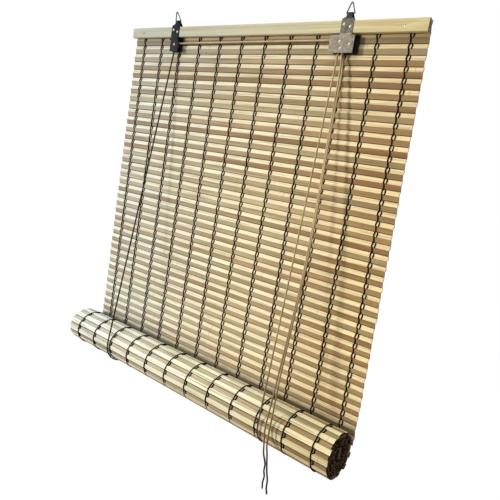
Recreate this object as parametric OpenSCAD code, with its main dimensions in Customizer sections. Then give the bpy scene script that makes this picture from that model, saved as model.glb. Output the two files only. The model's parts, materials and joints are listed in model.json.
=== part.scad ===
// Bamboo roll up blind, part way down, hung by two rings.
// X runs along the head rail, Y points away from the viewer, Z is up. Millimetres.
// The origin lies midway between the hangers, on the hinge line of the two rings.

/* [Bamboo mat] */
// Width of the mat, which is the length of one slat
mat_w = 600; // [300:10:1800]
// Mean height taken by one slat
slat_pitch = 7.11; // [5:0.01:12]
// Share of the height of a light and a brown slat that the light one takes
light_share = 0.42; // [0.3:0.01:0.7]
// Rate at which the slats come closer down the mat, as less weight hangs below them
draw_out = 0.003; // [0:0.001:0.01]
// Thickness of one slat
slat_t = 1.4; // [0.8:0.1:2.5]
// Slats that hang straight, from the rail's top to the roll
hang_slats = 80; // [20:2:150]
// Half of the pleat's depth, by which light and brown slats lean
pleat = 0.8; // [0.2:0.1:1.5]
// Depth of the groove between two slats
groove = 0.4; // [0.1:0.05:0.6]
// Distance of the mat's top edge below the top of the rail
mat_drop = 0; // [0:0.1:4]

/* [Warp threads] */
// Distance between two warps
warp_pitch = 50; // [20:1:80]
// Thickness of one thread
thread_t = 0.5; // [0.3:0.05:1]
// Width of one thread
thread_w = 1; // [0.5:0.1:2]
// Sideways distance between the two threads that show on a light slat
thread_gap = 2.6; // [0.2:0.1:4]
// Length of thread that stands above the top slat
thread_end = 1.2; // [0:0.1:4]

/* [Roll] */
// Slats wound on the roll
roll_slats = 120; // [40:2:240]
// Distance from one turn to the next
turn_pitch = 2.9; // [2.2:0.05:5]
// How far the roll's uneven ends reach past the mat
roll_spill = 4; // [0:0.5:10]
// How far the slats of the roll lean
roll_pleat = 0.15; // [0:0.05:0.3]
// Height of the batten at the core of the roll
batten_h = 17; // [8:0.5:20]
// Thickness of the batten at the core of the roll
batten_t = 5.8; // [4:0.2:10]
// Clearance of the innermost turn from the batten's corners
core_gap = 0.3; // [0.1:0.1:2]

/* [Head rail] */
// How far the rail reaches past the mat
rail_spill = 2; // [0:0.5:10]
// Height of the rail
rail_h = 17; // [12:0.5:30]
// Thickness of the rail
rail_t = 5.8; // [4:0.2:12]
// Bevel along the rail's edges
rail_bevel = 0.5; // [0.1:0.1:1.5]
// Distance of each nail from the rail's end
nail_inset = 33; // [10:1:60]
// Height of the nails on the rail
nail_z = 7.5; // [4:0.5:14]
// Radius of a nail's head
nail_head_r = 1.4; // [1:0.1:2.5]
// Thickness of a nail's head, which is driven flush
nail_head_t = 0.8; // [0.4:0.1:1.2]
// How far a nail's point comes through the mat
nail_point = 0.4; // [0:0.1:1]
// Radius of a nail's shank
nail_r = 0.7; // [0.5:0.1:1.2]

/* [Hangers] */
// Distance of each hanger from the middle of the rail
hanger_x = 180; // [90:1:800]
// Thickness of the metal sheet
sheet_t = 0.8; // [0.5:0.05:1.5]
// Width of the strap
strap_w = 20; // [14:0.5:30]
// Height of the strap's shoulders above the rail's top
shoulder_z = 2; // [0.5:0.5:6]
// Height over which the strap narrows to its eye
shoulder_h = 2; // [1:0.5:8]
// Bevel where the shoulders meet the eye
neck_r = 0.7; // [0.2:0.1:2]
// Length of the eye that holds the ring
eye_l = 9; // [5:0.2:9]
// Height of the ring's hinge above the rail's top
eye_z = 10; // [8:0.5:16]
// Distance of the ring's hinge behind the rail's front
eye_y = 3; // [2.4:0.1:4]
// Running clearance of wires, pins and bores
run_gap = 0.06; // [0.02:0.01:0.1]
// Depth of the lip that holds the cord's end, behind the mat
lip_d = 5; // [3.5:0.5:8]
// Width of that lip
lip_w = 7; // [4:0.5:12]

/* [Rings] */
// Radius of the ring wire
wire_r = 0.9; // [0.6:0.05:1.2]
// Half width of the ring, along the wire's middle
ring_half = 6.5; // [6:0.1:9]
// Height of the ring, along the wire's middle
ring_h = 15.2; // [12:0.2:24]
// How much the wire is thicker at the ring's corners
ring_bend = 0.1; // [0.05:0.05:0.3]
// Forward lean of the left ring
left_ring_lean = 20; // [-60:1:60]

/* [Rivets] */
// Radius of a rivet's shank
rivet_r = 1.1; // [0.8:0.05:1.5]
// Radius of a rivet's head
rivet_head_r = 2.1; // [1.6:0.1:3]
// Height of a rivet's dome
rivet_head_h = 1; // [0.5:0.1:1.6]
// Radius of a rivet's closed end behind the mat
rivet_tail_r = 1.8; // [1.4:0.1:2.6]
// Height of a rivet's closed end behind the mat
rivet_tail_h = 0.7; // [0.3:0.1:1.2]
// Sideways distance of the strap's rivets from its middle
strap_rivet_x = 5.4; // [3.5:0.1:7]
// Height of the strap's left rivet on the rail
strap_rivet_z = 11.5; // [10:0.1:14]
// How much lower the strap's right rivet sits
strap_rivet_step = 3.6; // [0:0.1:6]

/* [Pulley and cord lock] */
// Height of the bends where a plate is stepped forward
neck_bend = 0.4; // [0.2:0.1:0.6]
// How far the front plates stand in front of the strap
plate_step = 2; // [1:0.1:5]
// Width of the pulley's plate
pulley_w = 20.5; // [14:0.5:26]
// Height of the pulley's plate
pulley_h = 19.5; // [14:0.5:26]
// Drop of the pulley's plate below the rail
pulley_drop = 6; // [3:0.5:8]
// Sideways distance of the pulley's plate from the strap's middle
pulley_dx = 4; // [-4:0.5:4]
// Distance of the pulley's axle below the rail
pulley_z = 14; // [10:0.5:18]
// Width of the lock's plate
lock_w = 40.5; // [34:0.5:60]
// Height of the lock's plate
lock_h = 24; // [22:0.5:40]
// Drop of the lock's plate below the rail
lock_drop = 3.5; // [2:0.5:6]
// Height of the slit between the strap and the lock's plate
lock_slit = 0.6; // [0.3:0.1:2]
// Right edge of the lock's plate, from the strap's middle
lock_right = 17; // [14:0.5:24]
// How far the lock's rear plate stands out at the right of its front plate
rear_dx = 3; // [0:0.5:5]
// How far the rear plates' edges stay inside the rail and the front plates
rear_drop = 1; // [0.5:0.5:3]
// Width of the tongue that joins the lock's plate to its strap
tongue_w = 7; // [4:0.5:10]
// Lock roller, from the strap's middle
roller_x = -6.5; // [-9:0.1:-4]
// Distance of the lock roller below the rail
roller_z = 12.3; // [9:0.1:13]
// Guide roller, from the strap's middle
guide_x = -4.5; // [-7:0.1:-2]
// Distance of the guide roller below the rail
guide_z = 21.8; // [19:0.1:23]
// Radius of the groove that the cord runs in
groove_r = 1.75; // [1.5:0.05:2.5]
// Radius of the flanges on the sheave and the lock roller
flange_r = 4; // [3.6:0.1:5]
// Radius of the flanges on the guide roller
guide_flange_r = 3.2; // [2.8:0.1:3.6]
// Thickness of a flange
flange_t = 0.8; // [0.5:0.1:1.2]
// Side play of what turns between two plates
side_play = 0.2; // [0.1:0.05:0.4]
// Locking cam's pivot, from the strap's middle
cam_x = 10; // [8:0.1:13]
// Distance of the cam's pivot below the rail
cam_z = 16.3; // [12:0.1:18]
// Thickness of the cam
cam_t = 5; // [3:0.2:6]
// Radius of the cam's hub
cam_hub_r = 3.4; // [2.6:0.1:4]
// Direction of the cam's nose from its pivot
cam_start = 168; // [150:1:175]
// Angle that the teeth take up
cam_sweep = 70; // [40:1:90]
// Number of teeth on the cam
cam_teeth = 7; // [4:1:12]
// How much the cam's radius shrinks from its nose to its lowest tooth
cam_fall = 1.3; // [0.8:0.1:2.5]
// Depth of a tooth
tooth_d = 0.8; // [0.3:0.1:1.2]

/* [Cords] */
// Diameter of the cord
cord_d = 2; // [1.2:0.1:2.4]
// Clearance of the cords from what turns
cord_gap = 0.25; // [0.2:0.05:0.5]
// Clearance between two cords that run side by side
lane_gap = 0.4; // [0.2:0.1:1]
// Radius of the knot at a lift cord's upper end
knot_r = 1.7; // [1.4:0.1:2.4]
// Straight lead of a cord on to an axle
lead = 1; // [0.5:0.5:3]
// Sideways distance of the right lift cord on the roll from its hanger
right_cord_dx = 3; // [-10:1:10]
// Sideways distance of the left lift cord on the roll from its hanger
left_cord_dx = 3; // [-10:1:10]

/* [Hidden] */
$fn = 48;
rail_l = mat_w + 2 * rail_spill;
roll_w = mat_w + 2 * roll_spill;
mat_top = rail_h - mat_drop;
// Number of warps across the mat
warps = floor(mat_w / warp_pitch);
// Radius at which the mat runs on to the roll, from its core and the length wound on it
core_r = norm([batten_h, batten_t]) / 2 + slat_t / 2 + roll_pleat + core_gap;
roll_r = sqrt(core_r * core_r + roll_slats * slat_pitch * turn_pitch / PI);
// Share of the outer turn that isn't covered by the hanging mat
shown_turn = 0.88;
axis_z = mat_top - hang_slats * slat_pitch;
axis_y = slat_t / 2 - roll_r;
// Planes from front to back
seat_gap = 0.1;
thread_y0 = -pleat - thread_t;
rear_plate_y1 = thread_y0 - seat_gap;
rail_y1 = rear_plate_y1 - sheet_t;
rail_y0 = rail_y1 - rail_t;
strap_y0 = rail_y0 - sheet_t;
plate_y0 = strap_y0 - plate_step;
plate_y1 = plate_y0 + sheet_t;
back_y = pleat + slat_t;
rear_leg_y0 = back_y + thread_t + seat_gap;
rear_leg_y1 = rear_leg_y0 + sheet_t;
mid_y = (plate_y1 + rail_y1) / 2;
// A cutter along Y starts and ends this far past what it cuts
past = 1;
ring_y = rail_y0 + eye_y;
ring_z = rail_h + eye_z;
// Cord runs
cord_r = cord_d / 2;
run_r = groove_r + cord_gap + cord_r;
bight_r = roll_r + slat_t / 2 + roll_pleat + thread_t + cord_gap + cord_r;
lip_y = rear_leg_y1 + lip_d / 2;
roller_at = [hanger_x + roller_x, -roller_z];
guide_at = [hanger_x + guide_x, -guide_z];
cam_at = [hanger_x + cam_x, -cam_z];
pulley_at = [pulley_dx - hanger_x, -pulley_z];
cam_r = norm([cam_at[0] - guide_at[0] - run_r - cord_r, cam_at[1] - guide_at[1]]) - cord_gap;
lane_w = cord_d + lane_gap;
lane = lane_w / 2;
exit_z = -lock_drop - lock_h + 3;
pull_x = guide_at[0] + run_r;
// Route of the left pull cord below the lock: x, y, z
left_tail = [
    [181.7, -9.5, -53], [185.6, -15, -102], [189.4, -21, -163], [195.2, -29, -238],
    [199.5, -38, -323], [199.4, -47, -403], [198.9, -55, -471], [198.4, -61, -524],
    [199, -65, -547], [200.9, -65.5, -561], [202.4, -65.5, -571], [203.8, -65, -581.5],
    [208.7, -65, -593], [209.1, -65, -604], [211.1, -65, -611], [210.1, -65, -620],
    [211.1, -65, -628.7]];
// Route of the right pull cord below the lock: x, y, z
right_tail = [
    [184.4, -8.4, -53], [188, -14.4, -102], [191.6, -21, -163], [197.4, -29, -238],
    [201.9, -38, -323], [201.9, -47, -403], [202.5, -55, -471], [204.8, -61, -524],
    [206.7, -65, -547], [206.9, -65.5, -561], [207.4, -65.5, -569], [209.6, -65, -579.5],
    [211.8, -65, -592], [214.5, -65, -604], [217.4, -65, -614], [217.9, -65, -625],
    [220.3, -65, -632.7]];

function unit(v) = v / norm(v);
function side(t) = unit(cross(t, [0, 1, 0]));
// Place of boundary k, or of a point between two, in mean slats: light slats are the even ones
function edge(k) = let (p = k % 2)
    k - p + 2 * (p < 1 ? p * light_share : light_share + (p - 1) * (1 - light_share));
// Lean of the mat's boundary k: brown over light lies back, light over brown stands forward
function lean(k, a) = (k % 2 == 0) ? a : -a;
// A point of the mat's mid surface at boundary k
function mat_at(k) = let (e = edge(k))
    [lean(k, pleat) + slat_t / 2, mat_top - e * (slat_pitch + draw_out * (hang_slats - e))];
// Radius and angle of the roll's spiral at boundary k
function turn_r(k) = sqrt(roll_r * roll_r - edge(k) * slat_pitch * turn_pitch / PI);
function turn_a(k) = 360 * (roll_r - turn_r(k)) / turn_pitch;
function roll_at(k, d = 0) = let (r = turn_r(k) + d, a = turn_a(k))
    [axis_y + r * cos(a), axis_z - r * sin(a)];
// Mid surface of the roll at boundary k, with the slats' lean
function wound(k, d = 0) = roll_at(k, lean(k + hang_slats, roll_pleat) + d);
function mix(a, b, f) = a + (b - a) * f;
function normal(a, b) = let (t = unit(b - a)) [-t[1], t[0]];
// One face of a slat between two boundary points, with half a groove at each end
function slat_face(a, b, d) = let (n = normal(a, b) * d)
    [mix(a, b, 0.1) + n, mix(a, b, 0.9) + n];
// Tube along a route, with eight sides
module tube(route, r) {
    n = len(route);
    points = [for (i = [0:n - 1])
        let (t = unit(route[min(i + 1, n - 1)] - route[max(i - 1, 0)]), u = side(t), v = cross(t, u))
        for (k = [0:7]) route[i] + r * (cos(45 * k) * u + sin(45 * k) * v)];
    walls = [for (i = [0:n - 2]) for (k = [0:7])
        [i * 8 + k, (i + 1) * 8 + k, (i + 1) * 8 + (k + 1) % 8, i * 8 + (k + 1) % 8]];
    ends = [[for (k = [0:7]) k], [for (k = [7:-1:0]) (n - 1) * 8 + k]];
    polyhedron(points = points, faces = concat(walls, ends), convexity = 10);
}
// Arc of a cord round an axle, in the XZ plane
function arc_run(at, y, a0, a1, n) = [for (i = [0:n])
    let (a = a0 + (a1 - a0) * i / n) [at[0] + run_r * cos(a), y, at[1] + run_r * sin(a)]];

// Everything is drawn from the rail's bottom edge and then moved to the ring line
module placed() {
    translate([0, -ring_y, -ring_z]) children();
}
// A profile given as (y, z), pushed along X
module along_x(x0, x1) {
    translate([x0, 0, 0]) rotate([90, 0, 90]) linear_extrude(x1 - x0) children();
}
// An outline given as (x, z), pushed along Y
module along_y(y0, y1) {
    translate([0, y1, 0]) rotate([90, 0, 0]) linear_extrude(y1 - y0) children();
}
// A pin along Y
module pin(at, y0, y1, r) {
    translate([at[0], y0, at[1]]) rotate([-90, 0, 0]) cylinder(h = y1 - y0, r = r);
}
// A domed head that looks along -Y, on the plane y
module dome(at, y, r, h) {
    big = (r * r + h * h) / (2 * h);
    intersection() {
        translate([at[0], y + big - h, at[1]]) sphere(r = big, $fn = 64);
        pin(at, y - 2 * h, y, r);
    }
}

function strap_rivets(x) = [
    [x - strap_rivet_x, strap_rivet_z],
    [x + strap_rivet_x, strap_rivet_z - strap_rivet_step]];
function all_strap_rivets() = concat(strap_rivets(-hanger_x), strap_rivets(hanger_x));
function nails() = [for (s = [-1, 1]) [s * (rail_l / 2 - nail_inset), nail_z]];

module head_rail() {
    b = rail_bevel;
    color("wheat") placed() difference() {
        along_x(-rail_l / 2, rail_l / 2) polygon([
            [rail_y0 + b, 0], [rail_y1 - b, 0], [rail_y1, b], [rail_y1, rail_h - b],
            [rail_y1 - b, rail_h], [rail_y0 + b, rail_h], [rail_y0, rail_h - b], [rail_y0, b]]);
        for (at = all_strap_rivets()) pin(at, rail_y0 - past, rail_y1 + past, rivet_r + run_gap);
        for (at = nails()) pin(at, rail_y0 - past, rail_y1 + past, nail_r + run_gap);
        for (at = nails()) pin(at, rail_y0 - past, rail_y0 + nail_head_t + run_gap, nail_head_r + run_gap);
    }
}
module rail_nails() {
    color("dimgray") placed() for (at = nails()) {
        pin(at, rail_y0, rail_y0 + nail_head_t, nail_head_r);
        pin(at, rail_y0 + nail_head_t / 2, back_y + nail_point, nail_r);
    }
}

// Outline of the strap with its shoulders, from the front
module strap_outline(z0) {
    s = rail_h + shoulder_z;
    w = strap_w / 2;
    e = eye_l / 2;
    neck = s + shoulder_h;
    top = ring_z + eye_z;
    polygon([[-w, z0], [w, z0], [w, s], [e + neck_r, neck], [e, neck + neck_r], [e, top],
        [-e, top], [-e, neck + neck_r], [-e - neck_r, neck], [-w, s]]);
}
// A bent strip of sheet along a line of points (y, z), its outer side on the left of the run
module bent(pts) {
    n = len(pts);
    off = [for (i = [0:n - 1])
        let (a = normal(pts[max(i - 1, 0)], pts[max(i, 1)]),
             b = normal(pts[min(i, n - 2)], pts[min(i + 1, n - 1)]),
             m = unit(a + b))
        pts[i] + m * sheet_t / (m * a)];
    polygon(concat(pts, [for (i = [n - 1:-1:0]) off[i]]));
}
// Strap over the rail: front leg, eye round the ring wire, rear leg with the cord's lip
module strap(front_z) {
    bore = wire_r + run_gap;
    w = strap_w / 2;
    bend_z = rail_h + shoulder_z - sheet_t;
    difference() {
        intersection() {
            union() {
                along_x(-w, w) bent([[rail_y0, front_z], [rail_y0, bend_z], [ring_y - bore, ring_z]]);
                along_x(-w, w) bent([[ring_y + bore, ring_z], [rear_leg_y0, bend_z], [rear_leg_y0, 0]]);
                translate([-w, ring_y, ring_z]) rotate([0, 90, 0]) cylinder(h = strap_w, r = bore + sheet_t);
            }
            along_y(strap_y0 - past, rear_leg_y1 + past) strap_outline(min(front_z, 0) - past);
        }
        translate([-strap_w, ring_y, ring_z]) rotate([0, 90, 0]) cylinder(h = 2 * strap_w, r = bore);
        for (at = strap_rivets(0)) pin(at, strap_y0 - past, rear_leg_y1 + past, rivet_r + run_gap);
    }
    difference() {
        translate([-lip_w / 2, rear_leg_y0, 0]) cube([lip_w, sheet_t + lip_d, sheet_t]);
        translate([0, lip_y, -past]) cylinder(h = sheet_t + 2 * past, r = cord_r + cord_gap);
    }
}
// The step in the sheet by which a front plate stands forward of its strap
module plate_neck(x, x0, x1, drop) {
    translate([x, 0, 0]) along_x(x0, x1) bent([
        [plate_y1, -drop - sheet_t], [plate_y1, -drop + neck_bend],
        [rail_y0, -neck_bend], [rail_y0, 2 * sheet_t]]);
}
module front_plate(x0, x1, drop, h, pins) {
    difference() {
        along_y(plate_y0, plate_y1) translate([x0, -drop - h]) square([x1 - x0, h]);
        for (at = pins) pin(at, plate_y0 - past, plate_y1 + past, rivet_r + run_gap);
    }
}
module left_hanger() {
    w = strap_w / 2;
    x0 = pulley_at[0] - pulley_w / 2;
    color("dimgray") placed() {
        translate([-hanger_x, 0, 0]) strap(0);
        plate_neck(-hanger_x, -w, w, pulley_drop);
        front_plate(x0, x0 + pulley_w, pulley_drop, pulley_h, [pulley_at]);
    }
}
module right_hanger() {
    w = strap_w / 2;
    x1 = hanger_x + lock_right;
    color("gray") placed() {
        translate([hanger_x, 0, 0]) strap(lock_slit - lock_drop);
        plate_neck(hanger_x, w - tongue_w, w, lock_drop);
        front_plate(x1 - lock_w, x1, lock_drop, lock_h, [roller_at, guide_at, cam_at]);
    }
}
module strap_rivet_pair(x) {
    for (at = strap_rivets(x)) {
        dome(at, strap_y0, rivet_head_r, rivet_head_h);
        pin(at, strap_y0 - rivet_head_h / 2, rear_leg_y1 + rivet_tail_h / 2, rivet_r);
        pin(at, rear_leg_y1, rear_leg_y1 + rivet_tail_h, rivet_tail_r);
    }
}
module left_strap_rivets() {
    color("silver") placed() strap_rivet_pair(-hanger_x);
}
module right_strap_rivets() {
    color("silver") placed() strap_rivet_pair(hanger_x);
}

module wire_run(a, b) {
    d = b - a;
    translate([a[0], 0, a[1]]) rotate([0, atan2(d[0], d[1]), 0])
        cylinder(h = norm(d), r = wire_r, $fn = 32);
}
// Triangular ring that stands on its hinge line, with its wire upset a little at the bends
module wire_ring() {
    corners = [[-ring_half, 0], [ring_half, 0], [0, ring_h]];
    for (i = [0:2]) {
        wire_run(corners[i], corners[(i + 1) % 3]);
        translate([corners[i][0], 0, corners[i][1]]) sphere(r = wire_r + ring_bend, $fn = 32);
    }
}
module left_hanging_ring() {
    color("black") placed() translate([-hanger_x, ring_y, ring_z]) rotate([left_ring_lean, 0, 0]) wire_ring();
}
module right_hanging_ring() {
    color("black") placed() translate([hanger_x, ring_y, ring_z]) wire_ring();
}

// Rear plates hang between the rail and the mat, on the strap's rivets
module rear_plate(x, x0, x1, z0, pins) {
    difference() {
        along_y(rail_y1, rear_plate_y1) union() {
            translate([x - strap_w / 2, z0]) square([strap_w, rail_h - rear_drop - z0]);
            translate([x0, z0]) square([x1 - x0, -rear_drop - z0]);
        }
        for (at = concat(strap_rivets(x), pins))
            pin(at, rail_y1 - past, rear_plate_y1 + past, rivet_r + run_gap);
    }
}
module pulley_rear_plate() {
    x0 = pulley_at[0] - pulley_w / 2;
    color("dimgray") placed()
        rear_plate(-hanger_x, x0, x0 + pulley_w, rear_drop - pulley_drop - pulley_h, [pulley_at]);
}
module lock_rear_plate() {
    x1 = hanger_x + lock_right;
    color("gray") placed()
        rear_plate(hanger_x, x1 - lock_w + rear_dx, x1 + rear_dx, rear_drop - lock_drop - lock_h,
            [roller_at, guide_at, cam_at]);
}
// A rivet that is the axle of what turns between the two plates
module axle(at) {
    dome(at, plate_y0, rivet_head_r, rivet_head_h);
    pin(at, plate_y0 - rivet_head_h / 2, rear_plate_y1, rivet_r);
}
module pulley_rivet() {
    color("silver") placed() axle(pulley_at);
}
module lock_rivets() {
    color("silver") placed() for (at = [roller_at, guide_at, cam_at]) axle(at);
}
// A grooved roller on its axle, with a flange on each side of the cords
module roller(at, fr, lanes) {
    w = lanes * lane_w + 2 * cord_gap;
    difference() {
        union() {
            pin(at, plate_y1 + side_play, rail_y1 - side_play, groove_r);
            pin(at, mid_y - w / 2 - flange_t, mid_y - w / 2, fr);
            pin(at, mid_y + w / 2, mid_y + w / 2 + flange_t, fr);
        }
        pin(at, plate_y1, rail_y1, rivet_r + run_gap);
    }
}
module pulley_sheave() {
    color("goldenrod") placed() roller(pulley_at, flange_r, 1);
}
module lock_roller() {
    color("goldenrod") placed() roller(roller_at, flange_r, 2);
}
module guide_roller() {
    color("goldenrod") placed() roller(guide_at, guide_flange_r, 2);
}
// Toothed cam: its radius shrinks downwards, so that it lets go when its nose is lifted
module lock_cam() {
    steps = 2 * cam_teeth;
    function edge(i) = let (a = cam_start + cam_sweep * i / steps,
            r = cam_r - cam_fall * i / steps - (i % 2) * tooth_d)
        [r * cos(a), r * sin(a)];
    color("darkgray") placed() difference() {
        union() {
            along_y(mid_y - cam_t / 2, mid_y + cam_t / 2) translate(cam_at) polygon(concat(
                [[0, cam_hub_r], [-cam_hub_r / 2, cam_hub_r]],
                [for (i = [0:steps]) edge(i)],
                [[0, -cam_hub_r]]));
            pin(cam_at, mid_y - cam_t / 2, mid_y + cam_t / 2, cam_hub_r);
            pin(cam_at, plate_y1 + side_play, rail_y1 - side_play, groove_r);
        }
        pin(cam_at, plate_y1, rail_y1, rivet_r + run_gap);
    }
}

// The mat: one pleated wall of slats, light and brown by turns
module hanging_mat() {
    h = slat_t / 2;
    n = hang_slats;
    color("burlywood") placed() difference() {
        along_x(-mat_w / 2, mat_w / 2) polygon(concat(
            [mat_at(0) + [-h, 0]],
            [for (k = [0:n - 1]) each concat(slat_face(mat_at(k), mat_at(k + 1), -h),
                k < n - 1 ? [mat_at(k + 1) + [groove - h, 0]] : [])],
            [[0, axis_z], [slat_t, axis_z]],
            [for (k = [n - 1:-1:0]) each concat(slat_face(mat_at(k + 1), mat_at(k), -h),
                k > 0 ? [mat_at(k) + [h - groove, 0]] : [])],
            [mat_at(0) + [h, 0]]));
        for (at = all_strap_rivets()) pin(at, rail_y1, rear_leg_y1, rivet_r + run_gap);
        for (at = nails()) pin(at, rail_y1, rear_leg_y1, nail_r + run_gap);
    }
}
function warp_x(i) = (i - (warps - 1) / 2) * warp_pitch;
// Each warp is a thread down the front, one down the back and one that weaves between the slats
module mat_warps() {
    n = hang_slats;
    h = slat_t / 2 + thread_t / 2;
    long = mat_top + thread_end - axis_z;
    g = thread_gap / 2;
    lift = [for (k = [0:n - 1]) mix(mat_at(k), mat_at(k + 1), 0.5) + [lean(k, -h), 0]];
    color("saddlebrown") placed() difference() {
        for (i = [0:warps - 1]) translate([warp_x(i), 0, 0]) {
            translate([-g - thread_w, thread_y0, axis_z]) cube([thread_w, thread_t, long]);
            translate([-thread_w / 2, back_y, axis_z]) cube([thread_w, thread_t, long]);
            along_x(g, g + thread_w) polygon(concat(
                [for (p = lift) p - [thread_t / 2, 0]],
                [for (k = [n - 1:-1:0]) lift[k] + [thread_t / 2, 0]]));
        }
        for (at = all_strap_rivets()) pin(at, rail_y1, rear_leg_y1, rivet_r + run_gap);
    }
}
// The roll: the rest of the mat, wound under and forward round its bottom batten
module bamboo_roll() {
    h = slat_t / 2;
    n = roll_slats;
    color("tan") placed() along_x(-roll_w / 2, roll_w / 2) polygon(concat(
        [roll_at(0, h)],
        [for (k = [0:n - 1]) each concat(slat_face(wound(k), wound(k + 1), h),
            k < n - 1 ? [wound(k + 1, h - groove)] : [])],
        [roll_at(n, h), roll_at(n, -h)],
        [for (k = [n - 1:-1:0]) each concat(slat_face(wound(k + 1), wound(k), h),
            k > 0 ? [wound(k, groove - h)] : [])],
        [roll_at(0, -h)]));
}
// Threads that show on the outer turn of the roll
module roll_warps() {
    h = slat_t / 2;
    n = floor(2 * PI * roll_r * shown_turn / slat_pitch);
    function ridge(d) = [for (k = [1:n]) wound(k, d)];
    function dash(d) = [for (k = [1:n]) mix(roll_at(k), roll_at(k + 1), 0.5)
        + unit(roll_at(k + 0.5) - [axis_y, axis_z]) * (lean(k + hang_slats, -groove) + d)];
    color("saddlebrown") placed() for (i = [0:warps - 1]) translate([warp_x(i), 0, 0]) {
        along_x(-thread_gap / 2 - thread_w, -thread_gap / 2)
            polygon(concat(ridge(h - seat_gap), [for (k = [n:-1:1]) wound(k, h + thread_t - seat_gap)]));
        along_x(thread_gap / 2, thread_gap / 2 + thread_w)
            polygon(concat(dash(h - thread_t), [for (k = [n - 1:-1:0]) dash(h)[k]]));
    }
}
module bottom_batten() {
    color("wheat") placed() translate([-mat_w / 2, axis_y - batten_t / 2, axis_z - batten_h / 2])
        cube([mat_w, batten_t, batten_h]);
}

// Cords
module bight(x) {
    translate([x, axis_y, axis_z]) rotate([0, 90, 0]) rotate([0, 0, -90])
        rotate_extrude(angle = 180) translate([bight_r, 0]) circle(r = cord_r, $fn = 24);
}
module left_cord_bight() {
    color("khaki") placed() bight(left_cord_dx - hanger_x);
}
module right_cord_bight() {
    color("khaki") placed() bight(hanger_x + right_cord_dx);
}
// A strand that hangs from a lip behind the mat to the back of the roll
module rear_strand(x, dx) {
    y1 = axis_y + bight_r;
    seat = cord_r + cord_gap;
    tube([[x, lip_y, 6], [x, lip_y, -4], [x + dx, y1, axis_z + 4], [x + dx, y1, axis_z]], cord_r);
    translate([x, lip_y, sheet_t + sqrt(knot_r * knot_r - seat * seat)]) sphere(r = knot_r, $fn = 24);
}
module left_rear_cord() {
    color("khaki") placed() rear_strand(-hanger_x, left_cord_dx);
}
module right_rear_cord() {
    color("khaki") placed() rear_strand(hanger_x, right_cord_dx);
}
function lead_at(at, y) = [at[0] - run_r, y, at[1] - lead];
// A strand from the front of the roll up to the left of an axle
module front_strand(x, at, y) {
    y0 = axis_y - bight_r;
    top = lead_at(at, y);
    tube([[x, y0, axis_z], [x, y0, axis_z + 6], top - [0, 0, 6], top], cord_r);
}
module left_lift_cord() {
    color("khaki") placed() front_strand(left_cord_dx - hanger_x, pulley_at, mid_y);
}
module right_lift_cord() {
    color("khaki") placed() front_strand(hanger_x + right_cord_dx, roller_at, mid_y + lane);
}
// Over the lock's roller and down past the guide roller
function over_lock(y, a0) = concat(arc_run(roller_at, y, a0, 0, 6),
    [[pull_x, y, guide_at[1]], [pull_x, y, exit_z]]);
module cross_cord() {
    color("khaki") placed() tube(concat([lead_at(pulley_at, mid_y)],
        arc_run(pulley_at, mid_y, 180, 90, 4), over_lock(mid_y - lane, 90)), cord_r);
}
module lock_cord() {
    color("khaki") placed()
        tube(concat([lead_at(roller_at, mid_y + lane)], over_lock(mid_y + lane, 180)), cord_r);
}
// A pull cord hangs from the lock's lower edge along its tail
module pull_cord(y, tail) {
    tube(concat([[pull_x, y, exit_z], [pull_x, y, exit_z - 3]], tail), cord_r);
}
module left_pull_cord() {
    color("olive") placed() pull_cord(mid_y - lane, left_tail);
}
module right_pull_cord() {
    color("olive") placed() pull_cord(mid_y + lane, right_tail);
}

head_rail();
rail_nails();
left_hanger();
right_hanger();
left_strap_rivets();
right_strap_rivets();
left_hanging_ring();
right_hanging_ring();
pulley_rear_plate();
pulley_rivet();
pulley_sheave();
lock_rear_plate();
lock_rivets();
lock_roller();
guide_roller();
lock_cam();
hanging_mat();
mat_warps();
bamboo_roll();
roll_warps();
bottom_batten();
left_lift_cord();
left_rear_cord();
left_cord_bight();
cross_cord();
right_lift_cord();
right_rear_cord();
right_cord_bight();
lock_cord();
left_pull_cord();
right_pull_cord();
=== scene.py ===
import json
import math

import bmesh
import bpy
from mathutils import Matrix, Vector


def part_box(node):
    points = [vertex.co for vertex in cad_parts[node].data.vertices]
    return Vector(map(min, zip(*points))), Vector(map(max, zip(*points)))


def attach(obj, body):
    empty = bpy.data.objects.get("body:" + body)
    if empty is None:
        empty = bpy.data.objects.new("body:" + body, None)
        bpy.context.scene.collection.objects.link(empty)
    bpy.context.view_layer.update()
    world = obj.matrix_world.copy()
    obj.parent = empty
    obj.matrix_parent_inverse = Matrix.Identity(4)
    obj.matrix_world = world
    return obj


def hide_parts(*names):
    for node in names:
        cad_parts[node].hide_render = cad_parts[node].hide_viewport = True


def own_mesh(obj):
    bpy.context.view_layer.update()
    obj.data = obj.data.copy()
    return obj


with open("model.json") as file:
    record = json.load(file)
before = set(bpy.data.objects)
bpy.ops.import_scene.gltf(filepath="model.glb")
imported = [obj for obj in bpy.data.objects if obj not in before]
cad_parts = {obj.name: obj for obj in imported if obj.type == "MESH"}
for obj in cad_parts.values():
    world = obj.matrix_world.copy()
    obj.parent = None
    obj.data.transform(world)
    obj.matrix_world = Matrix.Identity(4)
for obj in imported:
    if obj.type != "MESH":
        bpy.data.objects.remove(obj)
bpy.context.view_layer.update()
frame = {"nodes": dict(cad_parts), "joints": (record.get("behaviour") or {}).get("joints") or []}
scene = bpy.context.scene
scene.view_settings.view_transform = "Standard"
MM = 0.001
joints = {joint["name"]: joint for joint in frame["joints"]}


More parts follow.
